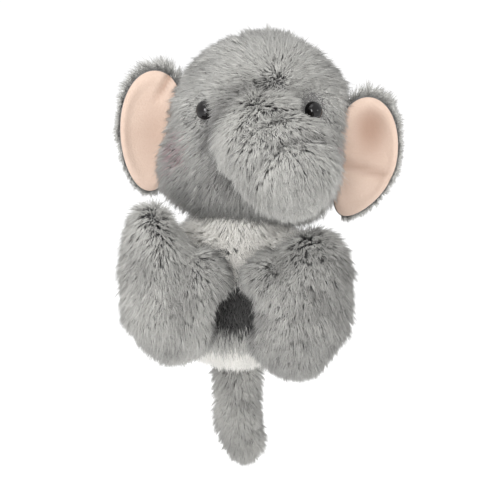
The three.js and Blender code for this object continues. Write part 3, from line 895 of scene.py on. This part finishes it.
def fold(side, across, up):
    """How far an ear's skin stands forward: a tuck at one's top, a hollow and a crease in the other"""
    rim = 1.6 * MM * np.exp(-((np.hypot(across, up) - 0.88) / 0.12) ** 2)
    if side == "right":
        hollow = 4.5 * MM * np.exp(-((across - 0.12) / 0.45) ** 2 - ((up - 0.48) / 0.4) ** 2)
        crease = 2.4 * MM * np.exp(-((up + 0.2 + across * 0.12) / 0.08) ** 2)
        lobe = 2.4 * MM * np.exp(-((up + 0.55) / 0.22) ** 2 - ((across + 0.1) / 0.5) ** 2)
        return rim + lobe - hollow - crease
    tuck = across + up * 0.9 - 0.42
    line = 4.4 * MM * np.exp(-(tuck / 0.1) ** 2) * np.clip((up - 0.45) * 3, 0, 1)
    roll = 2.4 * MM * np.exp(-((tuck + 0.28) / 0.2) ** 2) * np.clip((up - 0.35) * 2, 0, 1)
    dip = 1.6 * MM * np.exp(-((across + 0.1) / 0.5) ** 2 - (up / 0.5) ** 2)
    return rim + roll - line - dip


def build_ear(side, sign, seed):
    back = ear_pad(f"ear_form_{side}", side, sign, 20 * MM, 37 * MM, 5 * MM, 0, GREY_BACKING)
    velour = ear_pad(f"ear_velour_{side}", side, sign, 19.3 * MM, 36.3 * MM, 3.4 * MM, 3.9 * MM, VELOUR)
    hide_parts(f"ear_inner_{side}")
    low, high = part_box(f"ear_back_{side}")
    centre = (low + high) / 2
    half = np.array(high - low) / 2
    heart = np.array((centre.x - sign * 14 * MM, centre.y, centre.z))

    def flow(place, normal):
        way = place - heart
        way[:, 1] = 0
        return unit(way) + np.array((0, 0.55, -0.1))

    def keep(place, normal):
        off = (place - np.array(centre)) / half
        rim = off[:, 0] ** 2 + off[:, 2] ** 2 > 0.8
        front = normal[:, 1] < -0.3
        behind_head = off[:, 0] * sign < -0.7
        return np.where(front | behind_head & (off[:, 2] < 0.5), 0.0, np.where(rim, 1.7, 1.0))

    def trim(place, normal):
        off = (place - np.array(centre)) / half
        return 0.5 + 0.55 * np.clip(off[:, 2] - off[:, 0] * sign * 0.4, 0, 1)

    pile = Pile(back, 13000, 11.5 * MM, flow, seed, keep, trim, lean=(30, 62))
    # paler hairs: painted light that lifts the shade at the ear's fringe
    pile.tone += 0.8
    everywhere = np.ones(len(pile.place), bool)
    worn(pile.cut(f"pile_ear_{side}", everywhere, GREY_PILE), f"ear_{side}", f"ear_back_{side}")


# ---- Body ----

def body_sheet(inset, back):
    """The sleeve's cloth as one open sheet, set in from the skin, with its neck and arm openings."""
    half_wide = body_high.x - inset
    half_high = (body_high.z - body_low.z) / 2 - inset
    front = body_low.y + inset
    straight = body_low.y + 34 * MM
    outline = [(1.0, y) for y in np.linspace(back, straight, 16)]
    outline += [(math.cos(t), straight + (front - straight) * math.sin(t))
                for t in np.linspace(0, math.pi / 2, 17)[1:]]
    bm = bmesh.new()
    verts = [bm.verts.new((r, y, 0)) for r, y in outline]
    edges = [bm.edges.new(pair) for pair in zip(verts, verts[1:])]
    bmesh.ops.spin(bm, geom=verts + edges, cent=(0, 0, 0), axis=(0, 1, 0), angle=2 * math.pi,
                   steps=96, use_merge=True)
    bmesh.ops.remove_doubles(bm, verts=bm.verts, dist=0.01 * MM)
    bmesh.ops.scale(bm, vec=(half_wide, 1, half_high), verts=bm.verts)
    bmesh.ops.subdivide_edges(bm, edges=bm.edges, cuts=1, use_grid_fill=True)
    cut_opening(bm, Vector(joints["head_turn"]["pos_m"]), 2, 18 * MM)
    for side, sign in SIDES:
        cut_opening(bm, Vector(joints[f"arm_open_{side}"]["pos_m"]), 1, 11 * MM)
    bmesh.ops.recalc_face_normals(bm, faces=bm.faces)
    middle_y = (front + back) / 2
    outward = sum(f.normal.dot(f.calc_center_median() - Vector((0, middle_y, 0))) for f in bm.faces)
    if outward < 0:
        bmesh.ops.reverse_faces(bm, faces=bm.faces)
    return bm


def cut_opening(bm, centre, axis, radius):
    """Removes a round opening seen along an axis, and draws its edge out to a true circle."""
    def off_axis(spot):
        off = spot - centre
        off[axis] = 0
        return off

    def near_side(spot):
        return spot.z > 0 if axis == 2 else spot.y < centre.y + 12 * MM

    gone = [f for f in bm.faces if near_side(f.calc_center_median())
            and off_axis(f.calc_center_median()).length < radius]
    bmesh.ops.delete(bm, geom=gone, context="FACES")
    for vertex in bm.verts:
        off = off_axis(vertex.co)
        if vertex.is_boundary and near_side(vertex.co) and 0 < off.length < radius * 1.3:
            vertex.co += off.normalized() * (radius - off.length)


def walled(made, thickness):
    wall = made.modifiers.new("wall", "SOLIDIFY")
    wall.thickness = thickness
    wall.offset = -1
    return settle(made)


def build_body():
    hem_front = hem_low.y - 0.4 * MM
    backing = walled(from_bmesh("sleeve_backing", body_sheet(0, hem_front), GREY_BACKING), 2.6 * MM)
    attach(backing, "root")
    lining = from_bmesh("sleeve_cloth_lining", body_sheet(3.6 * MM, hem_front), LINING)
    points = positions(lining.data)
    folds = [noise.noise(Vector((p[0] * 60, p[1] * 14, p[2] * 60))) for p in points]
    inward = (np.array(folds) - 0.45) * 1.3 * MM
    set_positions(lining.data, points + normals(lining.data) * inward[:, None])
    walled(lining, 0.9 * MM)
    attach(lining, "root")
    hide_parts("sleeve_lining")
    skin = from_bmesh("sleeve_outside", body_sheet(0, hem_front))
    neck = np.array(Vector(joints["head_turn"]["pos_m"]))
    panel_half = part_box("belly_panel")[1].x
    panel_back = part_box("belly_panel")[1].y

    def on_belly(place):
        chest = place[:, 1] < neck[1] + 4 * MM
        underside = (place[:, 2] < body_low.z / 2) & (place[:, 1] < panel_back)
        return (np.abs(place[:, 0]) < panel_half + 4 * MM) & (chest | underside)

    def flow(place, normal):
        way = np.array((0, 0.5, -0.8)) + 0 * place
        way[on_belly(place)] = (0, -0.2, -1)
        return way

    def trim(place, normal):
        bib = on_belly(place) & (place[:, 2] > 10 * MM)
        return np.where(bib, 1.25, 1 - 0.45 * hollow_depth(place, 22 * MM) * on_belly(place))

    def keep(place, normal):
        return np.where(on_belly(place) & (place[:, 2] > 10 * MM), 2.0, 1.0)

    pile = Pile(skin, 46000, 11.5 * MM, flow, 21, keep, trim, lean=(20, 60), droop=0.15)
    bpy.data.objects.remove(skin)
    belly = on_belly(pile.place)
    # hairs deep in the hollow between the arms take the near-black pile: painted shade
    deep = belly & (pile.rng.random(len(pile.place)) < hollow_depth(pile.place, 22 * MM) * 1.3)
    deep &= pile.place[:, 1] < neck[1] - 8 * MM
    # grey pile on the white belly panel, in the lower part of the hollow and just below it: painted shade
    soft_edge = pile.rng.uniform(-33, -27, len(pile.place)) * MM
    low_front = (pile.place[:, 2] < 0) & (pile.place[:, 1] < -70 * MM)
    foot = belly & ~deep & low_front & (pile.place[:, 2] > soft_edge)
    outside = ~belly
    upper = outside & (pile.place[:, 2] > 0)
    worn(pile.cut("pile_sleeve_upper", upper, GREY_PILE), "root", "body_sleeve")
    worn(pile.cut("pile_sleeve_lower", outside & ~upper, GREY_PILE), "root")
    worn(pile.cut("pile_belly", belly & ~deep & ~foot, WHITE_PILE), "root", "belly_panel")
    worn(pile.cut("pile_belly_shaded_foot", foot, GREY_PILE), "root")
    worn(pile.cut("pile_belly_painted_shade", deep, SHADE_PILE), "root")


def build_hem():
    """The hem ring: a rolled binding, puckered by its line of stitches"""
    half_wide = hem_high.x
    half_deep = (hem_high.y - hem_low.y) / 2
    wall = 4 * MM
    bm = bmesh.new()
    made_ring = bmesh.ops.create_circle(bm, segments=14, radius=1)
    bmesh.ops.scale(bm, vec=(wall, half_deep, 1), verts=bm.verts)
    bmesh.ops.translate(bm, vec=(half_wide - wall, -half_deep, 0), verts=bm.verts)
    bmesh.ops.spin(bm, geom=made_ring["verts"] + bm.edges[:], cent=(0, 0, 0), axis=(0, 1, 0),
                   angle=2 * math.pi, steps=180, use_merge=True)
    bmesh.ops.remove_doubles(bm, verts=bm.verts, dist=0.001 * MM)
    bmesh.ops.recalc_face_normals(bm, faces=bm.faces)
    bmesh.ops.scale(bm, vec=(1, 1, hem_high.z / half_wide), verts=bm.verts)
    made = from_bmesh("hem_roll", bm, BINDING)
    points = positions(made.data)
    round_it = np.arctan2(points[:, 2], points[:, 0])
    pucker = np.sin(round_it * 60) * 0.3 * MM * (points[:, 1] < -half_deep)
    set_positions(made.data, points + normals(made.data) * pucker[:, None])
    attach(made, "root")
    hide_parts("hem_binding")


# ---- Tail ----

def build_tail():
    skin = form("tail_form", ["tail_skin", "tail_stuffing"], GREY_BACKING, hull=False, voxel=2.5 * MM,
                shrink=0.8 * MM, cap=1.5 * MM, seed=31)
    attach(skin, "tail")
    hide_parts("tail_stuffing")

    def flow(place, normal):
        return np.array((-0.02, 0, -1)) + 0 * place

    points = positions(skin.data)
    along = np.clip((tail_high.z - 20 * MM - points[:, 2]) / (tail_high.z - tail_low.z - 20 * MM), 0, 1)
    points[:, 2] -= along * 6 * MM
    points[:, 0] -= along * 3 * MM
    set_positions(skin.data, points)

    def trim(place, normal):
        tip = np.clip((tail_low.z + 8 * MM - place[:, 2]) / (10 * MM), 0, 1)
        return 0.92 + 0.1 * np.clip((place[:, 2] - tail_low.z) / (40 * MM), 0, 1) - 0.12 * tip

    pile = Pile(skin, 15000, 12.5 * MM, flow, 32, None, trim, lean=(28, 46), droop=0.25, wander=0.5)
    pile.tone -= 0.7
    everywhere = np.ones(len(pile.place), bool)
    worn(pile.cut("pile_tail", everywhere, GREY_PILE), "tail", "tail_skin")


# ---- Pieces kept from the frame ----

def dress_frame_nodes():
    kept = {
        "head_finger_pocket": LINING,
        "shoulder_cuff_left": LINING,
        "shoulder_cuff_right": LINING,
        "eye_washer_left": PLASTIC,
        "eye_washer_right": PLASTIC,
        "care_label": TAPE,
    }
    for node, material in kept.items():
        for material_slot in frame["nodes"][node].material_slots:
            material_slot.material = material


# ---- Studio ----

def build_studio():
    bm = bmesh.new()
    bmesh.ops.create_grid(bm, x_segments=1, y_segments=1, size=8)
    floor_drop = 150 * MM
    bmesh.ops.translate(bm, verts=bm.verts, vec=(0, 0, cad_box[0].z - floor_drop))
    paper = Finish("floor_paper", Roughness=1.0, Emission_Color=(1, 1, 1, 1), Emission_Strength=0.12)
    paper.colour(paper.mix(paper.noise(4, 2), (0.93, 0.93, 0.93), (0.96, 0.96, 0.96)))
    from_bmesh("floor", bm, paper.material)
    world = bpy.data.worlds.new("studio")
    world.use_nodes = True
    world.node_tree.nodes["Background"].inputs["Color"].default_value = (1, 1, 1, 1)
    world.node_tree.nodes["Background"].inputs["Strength"].default_value = 1.05
    bpy.context.scene.world = world
    target = Vector((8.4 * MM, -75 * MM, 27 * MM))
    lamp("key", target, Vector((-0.3, -1.45, 0.36)), 0.6, 15)
    lamp("sky", target, Vector((-0.3, -0.5, 1.5)), 1.0, 6)
    lamp("fill", target, Vector((1.3, -0.7, 0.35)), 0.3, 1.5)
    lamp("low", target, Vector((-0.1, -1.3, -0.25)), 0.5, 4)
    eye = bpy.data.cameras.new("camera")
    camera = bpy.data.objects.new("camera", eye)
    bpy.context.scene.collection.objects.link(camera)
    tilt = math.radians(8)
    distance = 1.0
    frame_width = 300 * MM
    camera.location = target + Vector((0, -math.cos(tilt), math.sin(tilt))) * distance
    camera.rotation_euler = (target - camera.location).to_track_quat("-Z", "Y").to_euler()
    eye.sensor_width = 36
    eye.lens = eye.sensor_width * distance / frame_width
    bpy.context.scene.camera = camera
    bpy.context.scene.view_settings.view_transform = "Standard"


def lamp(name, target, offset, size, power):
    light = bpy.data.lights.new(name, "AREA")
    light.size = size
    light.energy = power
    made = bpy.data.objects.new(name, light)
    bpy.context.scene.collection.objects.link(made)
    made.location = target + offset
    made.rotation_euler = (target - made.location).to_track_quat("-Z", "Y").to_euler()


build_studio()
build_head(build_trunk())
build_neck()
for number, (side, sign) in enumerate(SIDES):
    build_eye(side, sign)
    build_arm(side, sign, 41 + number)
    build_ear(side, sign, 51 + number)
build_body()
build_hem()
build_tail()
dress_frame_nodes()
